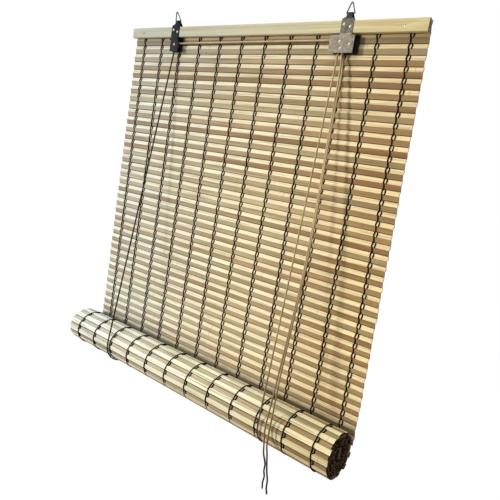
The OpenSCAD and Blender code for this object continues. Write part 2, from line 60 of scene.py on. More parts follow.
# The view: a hand-held camera to the right of the blind and below its head rail, turned clockwise by
# about ten degrees. The picture is the left part of a wider one, so the lens looks off its middle.
FRAME_PX = 500
FOCAL_PX = 476.81
SENSOR_MM = 36
camera = bpy.data.objects.new("camera", bpy.data.cameras.new("camera"))
scene.collection.objects.link(camera)
camera.data.sensor_width = SENSOR_MM
camera.data.lens = FOCAL_PX * SENSOR_MM / FRAME_PX
camera.data.shift_x = -0.21371
camera.data.shift_y = -0.00903
camera.location = (0.57866, -0.55312, -0.24098)
camera.rotation_euler = [math.radians(a) for a in (83.9695, -10.2192, 31.4165)]
scene.camera = camera


# The stage: a pale floor well below the hanging blind and an even white surround. The camera sees the
# floor white, with a share of its own shade kept. One soft lamp stands at the left in front, a wide one
# hangs above the front and one lights the back.
class Wire:
    """An output socket of a node tree. Arithmetic on it adds Math nodes to that tree."""

    def __init__(self, tree, socket=None):
        self.tree = tree
        self.socket = socket

    def node(self, kind, settings=None, values=None, out=0):
        """Adds one node: its settings first, then the values or links of its sockets."""
        made = self.tree.nodes.new(kind)
        for name, value in (settings or {}).items():
            setattr(made, name, value)
        for key, value in (values or {}).items():
            if isinstance(value, Wire):
                self.tree.links.new(value.socket, made.inputs[key])
            else:
                made.inputs[key].default_value = value
        return Wire(self.tree, made.outputs[out]) if len(made.outputs) else None

    def math(self, operation, first, second=0.0):
        return self.node("ShaderNodeMath", {"operation": operation}, {0: first, 1: second})

    def mix(self, factor, first, second):
        """Blends two colours."""
        return self.node("ShaderNodeMix", {"data_type": "RGBA"}, {0: factor, 6: first, 7: second}, 2)

    def clamp(self, low, high):
        """Maps low..high on to 0..1, and stops there."""
        return self.node("ShaderNodeMapRange", None, {0: self, 1: low, 2: high})

    def __add__(self, other):
        return self.math("ADD", self, other)

    def __sub__(self, other):
        return self.math("SUBTRACT", self, other)

    def __rsub__(self, other):
        return self.math("SUBTRACT", other, self)

    def __mul__(self, other):
        return self.math("MULTIPLY", self, other)

    def __truediv__(self, other):
        return self.math("DIVIDE", self, other)

    def __pow__(self, other):
        return self.math("POWER", self, other)

    def __mod__(self, other):
        return self.math("FLOORED_MODULO", self, other)

    __radd__ = __add__
    __rmul__ = __mul__


def start_material(name):
    """A material with an empty tree, and the wire that its nodes grow from."""
    made = bpy.data.materials.new(name)
    made.use_nodes = True
    made.node_tree.nodes.clear()
    return made, Wire(made.node_tree)


def seen(start):
    """1 for what the camera, a mirror or a glass shows, and 0 for light that falls on things."""
    path = {name: start.node("ShaderNodeLightPath", out=name)
            for name in ("Is Camera Ray", "Is Glossy Ray", "Is Transmission Ray")}
    total = path["Is Camera Ray"] + path["Is Glossy Ray"] + path["Is Transmission Ray"]
    return start.math("MINIMUM", total, 1.0)


FLOOR_Z = -1.3
FLOOR_HALF = 6.0
FLOOR_COLOUR = (0.48, 0.44, 0.37, 1)
SHADOW_SHARE = 0.1
FLOOR_GLOW = 1.1
WHITE = (1, 1, 1, 1)
floor_paint, start = start_material("floor_paint")
matte = start.node("ShaderNodeBsdfDiffuse", None, {"Color": FLOOR_COLOUR})
glow = start.node("ShaderNodeEmission", None, {"Color": WHITE, "Strength": FLOOR_GLOW})
floor_mix = start.node("ShaderNodeMixShader", None, {0: seen(start) * (1 - SHADOW_SHARE), 1: matte, 2: glow})
start.node("ShaderNodeOutputMaterial", None, {"Surface": floor_mix})
floor_mesh = bpy.data.meshes.new("floor")
floor_mesh.from_pydata(
    [(x * FLOOR_HALF, y * FLOOR_HALF, FLOOR_Z) for x, y in ((-1, -1), (1, -1), (1, 1), (-1, 1))], [],
    [(0, 1, 2, 3)])
floor_mesh.materials.append(floor_paint)
floor = bpy.data.objects.new("floor", floor_mesh)
scene.collection.objects.link(floor)

ROOM_LIGHT = 0.26
world = bpy.data.worlds.new("surround")
scene.world = world
world.use_nodes = True
world.node_tree.nodes.clear()
start = Wire(world.node_tree)
room = start.node("ShaderNodeBackground", None, {"Color": WHITE, "Strength": ROOM_LIGHT})
blank = start.node("ShaderNodeBackground", None, {"Color": WHITE, "Strength": 1.0})
both = start.node("ShaderNodeMixShader", None, {0: seen(start), 1: room, 2: blank})
start.node("ShaderNodeOutputWorld", None, {"Surface": both})

LIT_POINT = Vector((0, 0, -0.3))


def lamp(name, direction, distance, size, power, colour):
    """A square soft lamp that shines on the middle of the blind."""
    made = bpy.data.objects.new(name, bpy.data.lights.new(name, "AREA"))
    scene.collection.objects.link(made)
    made.data.size = size
    made.data.energy = power
    made.data.color = colour
    back = Vector(direction).normalized()
    made.location = LIT_POINT + back * distance
    made.rotation_euler = back.to_track_quat("Z", "Y").to_euler()


lamp("left_lamp", (-0.68, -0.73, 0.04), 5.0, 0.7, 190, (1, 0.99, 0.97))
lamp("top_lamp", (0, -0.32, 1), 2.4, 1.6, 47, (0.88, 0.97, 1))
lamp("back_lamp", (0.3, 1, 0.4), 3.0, 1.5, 36, (1, 0.99, 0.97))


# Cords: two braided cords of olive tan cotton; the left one is painted dark where it runs down the mat,
# as painted shade. Each is knotted behind the mat, goes under the roll, up its front, over a roller and
# out of the lock, and its bare end hangs down in front of the roll. They are drawn a little thicker than
# their solids.
CORD_D = 2.4 * MM
SOLID_CORD_D = 2.0 * MM
CORD_SIDES = 10
ROUTE_STEPS = 6
CORD_DARK = (0.22, 0.15, 0.07, 1)
CORD_LIGHT = (0.78, 0.6, 0.34, 1)
CORD_TAN = (0.24, 0.145, 0.055, 1)
CORD_END_SHADE = (0.03, 0.025, 0.018, 1)
# The left cord's dark colours are painted shade on the same cotton; both lift cords fade to a darker foot
# colour lower down.
LEFT_SHADE_DARK = (0.012, 0.009, 0.006, 1)
LEFT_SHADE_LIGHT = (0.08, 0.058, 0.036, 1)
DARKER_FOOT = (0.03, 0.02, 0.011, 1)
BRAID_PITCH = 2.2 * MM
LONG_FADE = (-0.25, -0.55)
ROLL_FADE = (-0.45, -0.57)
END_FADE = (-0.585, -0.615)


def cord_material(name, dark, light, foot, fade):
    """Braided cotton that takes its foot's colour over a range of heights; its bare end is painted dark as
    painted shade.
    """
    made, start = start_material(name)
    uv = start.node("ShaderNodeUVMap", {"uv_map": "run"})
    around, along = (start.node("ShaderNodeSeparateXYZ", None, {0: uv}, axis) for axis in (0, 1))
    strand = (along / BRAID_PITCH + around) * (2 * math.pi)
    back_strand = (along / BRAID_PITCH - around) * (2 * math.pi)
    weave = start.math("SINE", strand) * start.math("SINE", back_strand) * 0.5 + 0.5
    place = start.node("ShaderNodeTexCoord", out="Object")
    dirt = start.node("ShaderNodeTexNoise", None, {"Vector": place, "Scale": 60.0, "Detail": 3.0})
    tone = (weave * 0.6 + dirt * 0.6).clamp(0.1, 1.0)
    level = start.node("ShaderNodeSeparateXYZ", None, {0: place}, 2)
    colour = start.mix(level.clamp(*fade) * 0.75, start.mix(tone, dark, light), foot)
    # painted shade: the bare end below the roll is darkened
    colour = start.mix(level.clamp(*END_FADE) * 0.95, colour, CORD_END_SHADE)
    bump = start.node("ShaderNodeBump", None, {"Strength": 0.6, "Distance": 0.3 * MM, "Height": weave})
    shader = start.node("ShaderNodeBsdfPrincipled", None, {
        "Base Color": colour, "Roughness": 0.85, "Specular IOR Level": 0.1, "Normal": bump})
    start.node("ShaderNodeOutputMaterial", None, {"Surface": shader})
    return made


def new_piece(name, mesh, material):
    """A shown object at the origin, with one material."""
    mesh.materials.clear()
    mesh.materials.append(material)
    made = bpy.data.objects.new(name, mesh)
    scene.collection.objects.link(made)
    return made


def through(points, steps):
    """A smooth line through the points of a route, with the given steps between two of them."""
    line = []
    count = len(points)
    for i in range(count - 1):
        a, b = points[max(i - 1, 0)], points[i]
        c, d = points[i + 1], points[min(i + 2, count - 1)]
        for step in range(steps):
            t = step / steps
            line.append(0.5 * (2 * b + (c - a) * t + (2 * a - 5 * b + 4 * c - d) * t * t
                               + (3 * b - a - 3 * c + d) * t ** 3))
    return line + [points[-1]]


def tube(name, line, radius, sides, material, closed=False):
    """A round tube along a line, with a UV map that runs round it and along it in metres."""
    count = len(line)
    mesh = bpy.data.meshes.new(name)
    verts, lengths = [], [0.0]
    normal = None
    for i, point in enumerate(line):
        ahead = line[(i + 1) % count] if closed else line[min(i + 1, count - 1)]
        behind = line[i - 1] if closed else line[max(i - 1, 0)]
        tangent = (ahead - behind).normalized()
        if normal is None:
            normal = tangent.orthogonal()
        normal = (normal - tangent * normal.dot(tangent)).normalized()
        other = tangent.cross(normal)
        for k in range(sides):
            angle = 2 * math.pi * k / sides
            verts.append(point + (normal * math.cos(angle) + other * math.sin(angle)) * radius)
        if i:
            lengths.append(lengths[-1] + (point - line[i - 1]).length)
    spans = count if closed else count - 1
    faces = [(i * sides + k, i * sides + (k + 1) % sides,
              (i + 1) % count * sides + (k + 1) % sides, (i + 1) % count * sides + k)
             for i in range(spans) for k in range(sides)]
    if not closed:
        faces += [tuple(reversed(range(sides))), tuple(range((count - 1) * sides, count * sides))]
    mesh.from_pydata(verts, [], faces)
    run = mesh.uv_layers.new(name="run")
    for polygon in mesh.polygons:
        for corner, loop in enumerate(polygon.loop_indices):
            ring, k = divmod(mesh.loops[loop].vertex_index, sides)
            far = corner in (1, 2) and k == 0
            run.data[loop].uv = (1.0 if far else k / sides, lengths[ring])
        polygon.use_smooth = True
    return new_piece(name, mesh, material)


cotton = cord_material("cord_cotton", CORD_DARK, CORD_LIGHT, CORD_TAN, LONG_FADE)
lift_cotton = cord_material("cord_lift", CORD_DARK, CORD_LIGHT, DARKER_FOOT, ROLL_FADE)
left_shaded_cotton = cord_material("cord_left_shaded", LEFT_SHADE_DARK, LEFT_SHADE_LIGHT, DARKER_FOOT, LONG_FADE)
cord_r = CORD_D / 2
rail_low, rail_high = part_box("head_rail")
RAIL_FRONT = 8.0 * MM
rail_foot = Vector((0, rail_low.y + RAIL_FRONT, rail_low.z))
EXIT_DROP = 24.5 * MM
EXIT_LEAD = 3.0 * MM
CORD_RUN_R = 3.0 * MM
LANE = 1.2 * MM
LEAD = 1.0 * MM
pulley_axle = Vector(joints["pulley_spin"]["pos_m"])
roller_axle = Vector(joints["lock_roller_spin"]["pos_m"])
guide_axle = Vector(joints["guide_roller_spin"]["pos_m"])
roll_axis = Vector(joints["roll_turn"]["pos_m"])
# Route of each pull cord below the lock, from the rail's foot: x, y, z in millimetres
LEFT_TAIL = (
    (181.7, -9.5, -53), (185.6, -15, -102), (189.4, -21, -163), (195.2, -29, -238), (199.5, -38, -323),
    (199.4, -47, -403), (198.9, -55, -471), (198.4, -61, -524), (199, -65, -547), (200.9, -65.5, -561),
    (202.4, -65.5, -571), (203.8, -65, -581.5), (208.7, -65, -593), (209.1, -65, -604), (211.1, -65, -611),
    (210.1, -65, -620), (211.1, -65, -628.7))
RIGHT_TAIL = (
    (184.4, -8.4, -53), (188, -14.4, -102), (191.6, -21, -163), (197.4, -29, -238), (201.9, -38, -323),
    (201.9, -47, -403), (202.5, -55, -471), (204.8, -61, -524), (206.7, -65, -547), (206.9, -65.5, -561),
    (207.4, -65.5, -569), (209.6, -65, -579.5), (211.8, -65, -592), (214.5, -65, -604), (217.4, -65, -614),
    (217.9, -65, -625), (220.3, -65, -632.7))


def shorten(piece):
    """Gives a hanging piece a mesh of its own."""
    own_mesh(piece)


for name, lane, tail in (("left_pull_cord", -LANE, LEFT_TAIL), ("right_pull_cord", LANE, RIGHT_TAIL)):
    leave = Vector((guide_axle.x + CORD_RUN_R, guide_axle.y + lane, rail_foot.z - EXIT_DROP))
    route = [leave, leave - Vector((0, 0, EXIT_LEAD))] + [rail_foot + Vector(p) * MM for p in tail]
    line = through(route, ROUTE_STEPS)
    piece = tube(name + "_braid", line, cord_r, CORD_SIDES, cotton)
    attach(piece, "head")
    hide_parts(name)
    shorten(piece)


def round_axle(axle, lane, start_angle, end_angle, steps):
    """The stretch of a cord that runs round an axle, seen from the front."""
    angles = [math.radians(start_angle + (end_angle - start_angle) * i / steps) for i in range(steps + 1)]
    return [axle + Vector((CORD_RUN_R * math.cos(a), lane, CORD_RUN_R * math.sin(a))) for a in angles]


def on_to(axle, lane):
    """Where a cord comes up to its roller."""
    return axle + Vector((-CORD_RUN_R, lane, -LEAD))


def past_guide(lane):
    """The last stretch inside the lock, straight down past the guide roller."""
    level = Vector((guide_axle.x + CORD_RUN_R, guide_axle.y + lane, guide_axle.z))
    return [level, Vector((level.x, level.y, rail_foot.z - EXIT_DROP))]


bight_low, bight_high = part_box("left_cord_bight")
bight_r = (bight_high.y - bight_low.y - SOLID_CORD_D) / 2
HANGER_X = 180 * MM
LEFT_CORD_X = -177 * MM
RIGHT_CORD_X = 183 * MM
LIP_Y = 6.1 * MM
KNOT_Z = 2.0 * MM
HOLD = 6 * MM
ARC_STEPS = 16
QUARTER_STEPS = 8
HALF_STEPS = 14


def cord_run(node, line, body, material):
    """A stretch of cord that the blind holds all the way."""
    piece = tube(node + "_braid", line, cord_r, CORD_SIDES, material)
    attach(piece, body)
    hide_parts(node)
    return piece


cross = ([on_to(pulley_axle, 0)] + round_axle(pulley_axle, 0, 180, 90, QUARTER_STEPS)
         + round_axle(roller_axle, -LANE, 90, 0, QUARTER_STEPS) + past_guide(-LANE))
cord_run("cross_cord", cross, "head", cotton)
over_lock = ([on_to(roller_axle, LANE)] + round_axle(roller_axle, LANE, 180, 0, HALF_STEPS)
             + past_guide(LANE))
cord_run("lock_cord", over_lock, "head", cotton)
for side, hang_x, roll_x, axle, lane, braid in (
        ("left", -HANGER_X, LEFT_CORD_X, pulley_axle, 0, left_shaded_cotton),
        ("right", HANGER_X, RIGHT_CORD_X, roller_axle, LANE, lift_cotton)):
    front = Vector((roll_x, roll_axis.y - bight_r, roll_axis.z))
    back = Vector((roll_x, roll_axis.y + bight_r, roll_axis.z))
    under = [Vector((roll_x, roll_axis.y + bight_r * math.cos(a), roll_axis.z - bight_r * math.sin(a)))
             for a in (math.pi * i / ARC_STEPS for i in range(ARC_STEPS + 1))]
    cord_run(side + "_cord_bight", under, "cord_bights", braid)
    top = on_to(axle, lane)
    hold = Vector((0, 0, HOLD))
    shorten(cord_run(side + "_lift_cord", [front, front + hold, top - hold, top], "head", braid))
    lip = rail_foot + Vector((hang_x, LIP_Y, KNOT_Z))
    shorten(cord_run(side + "_rear_cord", [lip, lip - hold, back + hold, back], "head", braid))


# Knots: each cord's upper end is tied in a plain overhand knot, too thick for the hole in the
# hanger's lip behind the mat.
KNOT_R = 1.25 * MM
KNOT_TURNS = 40
KNOT_LIFT = 0.8 * MM
for side, hang_x in (("left", -HANGER_X), ("right", HANGER_X)):
    middle = rail_foot + Vector((hang_x, LIP_Y, KNOT_Z + KNOT_LIFT))
    bend = [2 * math.pi * i / KNOT_TURNS for i in range(KNOT_TURNS)]
    loop = [middle + Vector(((math.sin(t) + 2 * math.sin(2 * t)) / 3,
                             (math.cos(t) - 2 * math.cos(2 * t)) / 3,
                             -math.sin(3 * t) / 2)) * KNOT_R for t in bend]
    knot = tube(side + "_cord_knot", loop, cord_r, CORD_SIDES, cotton, closed=True)
    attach(knot, "head")


# Head rail: one planed batten of pale wood with eased edges, nailed and riveted to the mat's top.
# The batten at the core of the roll is painted nearly black, as painted shade.
# The rail's colours carry painted light: greyer at the left end and warmer at the right, from the light.
WOOD_LEFT = (0.42, 0.42, 0.35, 1)
WOOD_MID = (0.56, 0.5, 0.33, 1)
WOOD_RIGHT = (0.67, 0.54, 0.28, 1)
WOOD_STREAK = (0.36, 0.28, 0.15, 1)
# painted shade: the core batten lies deep in the roll
CORE_SHADE = (0.05, 0.028, 0.014, 1)
END_GRAIN = (0.24, 0.12, 0.045, 1)
END_SHADE_DARK = (0.01, 0.006, 0.003, 1)
GREY_FROM = (0.05, -0.25)
WARM_FROM = (0.08, 0.25)
RAIL_EDGE = 0.3 * MM
CORE_EDGE = 0.5 * MM
WELD = 0.002 * MM
FLAT_DEG, EASED_DEG, SHARP_DEG = 1, 40, 35


def streaks(start, scale, detail, shift=None):
    """Noise drawn out along the grain, which runs along X."""
    place = start.node("ShaderNodeTexCoord", out="Object")
    if shift is not None:
        offset = start.node("ShaderNodeCombineXYZ", None, {0: shift, 1: shift})
        place = start.node("ShaderNodeVectorMath", {"operation": "ADD"}, {0: place, 1: offset})
    long = start.node("ShaderNodeMapping", None, {"Vector": place, "Scale": scale})
    return start.node("ShaderNodeTexNoise", None, {"Vector": long, "Scale": 1.0, "Detail": detail})


def cut_end(start):
    """1 on the sawn ends of a piece that runs along X."""
    normal = start.node("ShaderNodeNewGeometry", out="True Normal")
    across = start.node("ShaderNodeSeparateXYZ", None, {0: normal}, 0)
    return start.math("GREATER_THAN", start.math("ABSOLUTE", across), 0.8)


def end_grain_and_shade(start):
    """Dark, mottled wood of a sawn end: partly the end grain's own colour, partly painted shade."""
    place = start.node("ShaderNodeTexCoord", out="Object")
    pores = start.node("ShaderNodeTexNoise", None, {"Vector": place, "Scale": 700.0, "Detail": 3.0})
    return start.mix(pores.clamp(0.45, 0.68), END_SHADE_DARK, END_GRAIN)


def painted_light_tint(start, left, mid, right):
    """A colour of wood that is greyer towards the left end and warmer towards the right end. This is painted
    light: the cool and warm tints of the light at either end.
    """
    place = start.node("ShaderNodeTexCoord", out="Object")
    across = start.node("ShaderNodeSeparateXYZ", None, {0: place}, 0)
    return start.mix(across.clamp(*WARM_FROM), start.mix(across.clamp(*GREY_FROM), mid, left), right)


def wood_material(name, left, mid, right):
    """Planed wood with fine and broad grain and dark sawn ends."""
    made, start = start_material(name)
    fine = streaks(start, (9, 500, 900), 4.0)
    broad = streaks(start, (4, 60, 120), 2.0)
    base = painted_light_tint(start, left, mid, right)
    grained = start.mix(fine.clamp(0.5, 0.75) * 0.35 + broad.clamp(0.45, 0.75) * 0.25, base, WOOD_STREAK)
    colour = start.mix(cut_end(start), grained, end_grain_and_shade(start))
    bump = start.node("ShaderNodeBump", None, {"Strength": 0.25, "Distance": 0.2 * MM, "Height": fine})
    shader = start.node("ShaderNodeBsdfPrincipled", None, {
        "Base Color": colour, "Roughness": fine * 0.2 + 0.5, "Specular IOR Level": 0.1, "Normal": bump})
    start.node("ShaderNodeOutputMaterial", None, {"Surface": shader})
    return made


def softened(node, body, material, width):
    """The CAD piece again, with its edges rounded by the given width."""
    mesh = frame["nodes"][node].data.copy()
    shape = bmesh.new()
    shape.from_mesh(mesh)
    bmesh.ops.remove_doubles(shape, verts=shape.verts, dist=WELD)
    bmesh.ops.dissolve_limit(shape, angle_limit=math.radians(FLAT_DEG), verts=shape.verts, edges=shape.edges)
    shape.to_mesh(mesh)
    shape.free()
    piece = new_piece(node + "_finished", mesh, material)
    edges = piece.modifiers.new("eased", "BEVEL")
    edges.width = width
    edges.segments = 2
    edges.limit_method = "ANGLE"
    edges.angle_limit = math.radians(EASED_DEG)
    edges.use_clamp_overlap = True
    view = bpy.context.evaluated_depsgraph_get()
    piece.data = bpy.data.meshes.new_from_object(piece.evaluated_get(view))
    piece.modifiers.clear()
    piece.data.set_sharp_from_angle(angle=math.radians(SHARP_DEG))
    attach(piece, body)
    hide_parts(node)
    return piece


pale_wood = wood_material("planed_wood", WOOD_LEFT, WOOD_MID, WOOD_RIGHT)
core_shade_wood = wood_material("core_shade_wood", CORE_SHADE, CORE_SHADE, CORE_SHADE)
softened("head_rail", "head", pale_wood, RAIL_EDGE)
softened("bottom_batten", "roll", core_shade_wood, CORE_EDGE)


# Hangers and rear plates: straps and plates stamped from thin sheet. The right one is bronzed and
# mottled, the left one darker, and both are nearly black round the eye that holds the ring.
BRONZE_LIGHT = (0.4, 0.345, 0.265, 1)
BRONZE_DARK = (0.19, 0.155, 0.115, 1)
GUN_LIGHT = (0.028, 0.032, 0.034, 1)
GUN_DARK = (0.008, 0.009, 0.01, 1)
EYE_DARK = (0.012, 0.014, 0.019, 1)


def sheet_material(name, light, dark, strap_dark):
    """Mottled sheet metal, darker on the rail and nearly black above it."""
    made, start = start_material(name)
    place = start.node("ShaderNodeTexCoord", out="Object")
    fine = start.node("ShaderNodeTexNoise", None, {"Vector": place, "Scale": 900.0, "Detail": 5.0})
    patch = start.node("ShaderNodeTexNoise", None, {"Vector": place, "Scale": 180.0, "Detail": 3.0})
    height = start.node("ShaderNodeSeparateXYZ", None, {0: place}, 2)
    above = height.clamp(rail_high.z - 1 * MM, rail_high.z + 3 * MM)
    mottled = start.mix((fine * 0.6 + patch * 0.4).clamp(0.4, 0.62), dark, light)
    on_rail = height.clamp(rail_low.z - 1 * MM, rail_low.z) * strap_dark
    colour = start.mix(start.math("MAXIMUM", above * 0.9, on_rail), mottled, EYE_DARK)
    bump = start.node("ShaderNodeBump", None, {"Strength": 0.25, "Distance": 0.1 * MM, "Height": fine})
    shader = start.node("ShaderNodeBsdfPrincipled", None, {
        "Base Color": colour, "Metallic": 0.1, "Roughness": patch * 0.25 + 0.45,
        "Specular IOR Level": 0.04, "Normal": bump})
    start.node("ShaderNodeOutputMaterial", None, {"Surface": shader})
    return made


bronze = sheet_material("bronzed_sheet", BRONZE_LIGHT, BRONZE_DARK, 0.45)
gunmetal = sheet_material("gunmetal_sheet", GUN_LIGHT, GUN_DARK, 0.5)
SHEET_EDGE = 0.12 * MM
softened("right_hanger", "head", bronze, SHEET_EDGE)
softened("lock_rear_plate", "head", gunmetal, SHEET_EDGE)
softened("left_hanger", "head", gunmetal, SHEET_EDGE)
softened("pulley_rear_plate", "head", gunmetal, SHEET_EDGE)


# Rivets and nails: bright steel rivets with domed heads hold the straps, and are the axles of the
# rollers and of the cam. A small nail sits flush near each end of the rail.
STEEL_LIGHT = (0.56, 0.54, 0.49, 1)
STEEL_DULL = (0.26, 0.25, 0.23, 1)
NAIL_HIGHLIGHT = (0.86, 0.86, 0.84, 1)
NAIL_DARK = (0.015, 0.012, 0.01, 1)
RIVET_EDGE = 0.1 * MM
NAIL_EDGE = 0.15 * MM


def metal_material(name, light, dull, roughness, metallic):
    """Metal with dull, rougher patches of wear."""
    made, start = start_material(name)
    place = start.node("ShaderNodeTexCoord", out="Object")
    mottle = start.node("ShaderNodeTexNoise", None, {"Vector": place, "Scale": 700.0, "Detail": 4.0})
    colour = start.mix(mottle.clamp(0.45, 0.75), light, dull)
    shader = start.node("ShaderNodeBsdfPrincipled", None, {
        "Base Color": colour, "Metallic": metallic, "Roughness": mottle * 0.2 + roughness})
    start.node("ShaderNodeOutputMaterial", None, {"Surface": shader})
    return made


def nail_material():
    """Nail heads: the right one is painted bright, a painted highlight, and the left one dark."""
    made, start = start_material("nail_steel")
    place = start.node("ShaderNodeTexCoord", out="Object")
    mottle = start.node("ShaderNodeTexNoise", None, {"Vector": place, "Scale": 700.0, "Detail": 4.0})
    across = start.node("ShaderNodeSeparateXYZ", None, {0: place}, 0)
    # painted highlight on the right nail head
    glint = start.mix(mottle.clamp(0.42, 0.55), NAIL_DARK, NAIL_HIGHLIGHT)
    colour = start.mix(across.clamp(0.1, -0.1), glint, NAIL_DARK)
    shader = start.node("ShaderNodeBsdfPrincipled", None, {
        "Base Color": colour, "Metallic": 0.2, "Roughness": 0.4, "Specular IOR Level": 0.1})
    start.node("ShaderNodeOutputMaterial", None, {"Surface": shader})
    return made


bright_steel = metal_material("bright_steel", STEEL_LIGHT, STEEL_DULL, 0.2, 0.3)
nail_steel = nail_material()
for node in ("left_strap_rivets", "right_strap_rivets", "pulley_rivet", "lock_rivets"):
    softened(node, "head", bright_steel, RIVET_EDGE)
softened("rail_nails", "head", nail_steel, NAIL_EDGE)


# Rings: each is a triangle of dark wire whose foot turns in the hanger's eye. The left one leans
# forward.
RING_HALF = 6.5 * MM
RING_H = 15.2 * MM
RING_WIRE_R = 0.9 * MM
RING_SIDES = 12
RING_STEPS = 8
RING_BENDS = (1.2 * MM, 1.2 * MM, 1.4 * MM)
RING_SPREAD = 0.6 * MM
RING_RISE = 2.0 * MM
LEFT_LEAN = 20
WIRE_LIGHT = (0.06, 0.06, 0.065, 1)
WIRE_DARK = (0.012, 0.012, 0.014, 1)


def rounded(corners, radii, steps):
    """A closed line through corners, each rounded by an arc."""
    line = []
    for i, corner in enumerate(corners):
        a = (corners[i - 1] - corner).normalized()
        b = (corners[(i + 1) % len(corners)] - corner).normalized()
        half = a.angle(b) / 2
        middle = corner + (a + b).normalized() * (radii[i] / math.sin(half))
        first = corner + a * (radii[i] / math.tan(half)) - middle
        last = corner + b * (radii[i] / math.tan(half)) - middle
        turn = first.rotation_difference(last)
        for step in range(steps + 1):
            share = turn.copy()
            share.angle = turn.angle * step / steps
            line.append(middle + share @ first)
    return line


dark_wire = metal_material("dark_wire", WIRE_LIGHT, WIRE_DARK, 0.3, 0.3)
for side, hang_x, lean in (("left", -HANGER_X, LEFT_LEAN), ("right", HANGER_X, 0)):
    corners = [Vector(p) for p in ((-RING_HALF - RING_SPREAD, 0, 0), (RING_HALF + RING_SPREAD, 0, 0),
                                   (0, 0, RING_H + RING_RISE))]
    place = Matrix.Translation((hang_x, 0, 0)) @ Matrix.Rotation(math.radians(lean), 4, "X")
    line = [place @ p for p in rounded(corners, RING_BENDS, RING_STEPS)]
    ring = tube(side + "_ring_wire", line, RING_WIRE_R, RING_SIDES, dark_wire, closed=True)
    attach(ring, side + "_ring")
    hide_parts(side + "_hanging_ring")


# Sheave, rollers and cam: turned brass rollers and a toothed steel cam, each on a rivet between the
# plates. The cords run over the rollers, and the cam grips them against the guide roller.
ROLLER_EDGE = 0.1 * MM
CAM_EDGE = 0.08 * MM
BRASS_LIGHT = (0.72, 0.55, 0.26, 1)
BRASS_DULL = (0.36, 0.25, 0.1, 1)
turned_brass = metal_material("turned_brass", BRASS_LIGHT, BRASS_DULL, 0.25, 0.9)
cam_steel = metal_material("cam_steel", STEEL_DULL, GUN_LIGHT, 0.35, 0.7)
softened("pulley_sheave", "sheave", turned_brass, ROLLER_EDGE)
softened("lock_roller", "lock_roller", turned_brass, ROLLER_EDGE)
softened("guide_roller", "guide_roller", turned_brass, ROLLER_EDGE)
softened("lock_cam", "cam", cam_steel, CAM_EDGE)


# Hanging mat: bamboo slats, light and brown by turns, tied edge to edge so that they lie in a shallow
# pleat. Light ones lean out at their lower edge and brown ones lean in. The upper slats, the first one
# under the rail and the lowest ones behind the roll are painted greyer or darker, as painted shade, and
# the dark lines at the edges of the brown slats are painted shade too.
mat_low, mat_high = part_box("hanging_mat")
HANG_SLATS = 80
LIGHT_SHARE = 0.44
DRAW_OUT = 0.003 * MM
SLAT_T = 1.4 * MM
SLAT_GAP = 0.05 * MM
PLEAT = 0.8 * MM
slat_pitch = (mat_high.z - mat_low.z) / HANG_SLATS
slat_length = mat_high.x - mat_low.x
mat_y = (mat_low.y + mat_high.y) / 2
# These slat colours carry the same painted light tint from the left end to the right.
LIGHT_LEFT = (0.8, 0.79, 0.68, 1)
LIGHT_MID = (0.95, 0.82, 0.56, 1)
LIGHT_RIGHT = (0.96, 0.75, 0.41, 1)
LIGHT_WORN = (0.62, 0.48, 0.25, 1)
PALE_LEFT = (0.57, 0.55, 0.45, 1)
PALE_MID = (0.7, 0.56, 0.32, 1)
PALE_RIGHT = (0.5, 0.32, 0.14, 1)
DEEP_LEFT = (0.28, 0.245, 0.18, 1)
DEEP_MID = (0.3, 0.19, 0.09, 1)
DEEP_RIGHT = (0.24, 0.125, 0.045, 1)
# Rear faces show on the roll; their colours at the right end are darkened as painted shade.
REAR_LIGHT_LEFT = (0.92, 0.93, 0.86, 1)
REAR_LIGHT_MID = (0.95, 0.9, 0.66, 1)
REAR_LIGHT_RIGHT = (0.88, 0.74, 0.43, 1)
REAR_PALE_LEFT = (0.66, 0.66, 0.56, 1)
REAR_PALE_MID = (0.66, 0.58, 0.38, 1)
REAR_PALE_RIGHT = (0.4, 0.29, 0.14, 1)
RED_PATCH = (0.4, 0.2, 0.1, 1)
GREEN_PATCH = (0.44, 0.41, 0.24, 1)
GRAIN_DARK = (0.2, 0.12, 0.05, 1)
SHADED = (0.2, 0.18, 0.15, 1)
VALLEY_SHADE = (0.05, 0.03, 0.013, 1)
KNOT_SPACE = 0.31
KNOT_HALF = 0.9 * MM
FIRST_SLAT = 4.1 * MM
FADE_H = 0.1 * MM
TOP_SHADE = (-0.24, -0.04)
FOOT_LIGHT = (-0.36, -0.5)
FOOT_SHADE = (-0.53, -0.56)
INNER_END_SHADE = (0.27, 0.296)
SLAT_SHIFT = 1.0 * MM
SLAT_OVERHANG = 1.5 * MM
HANG_SEED = 11


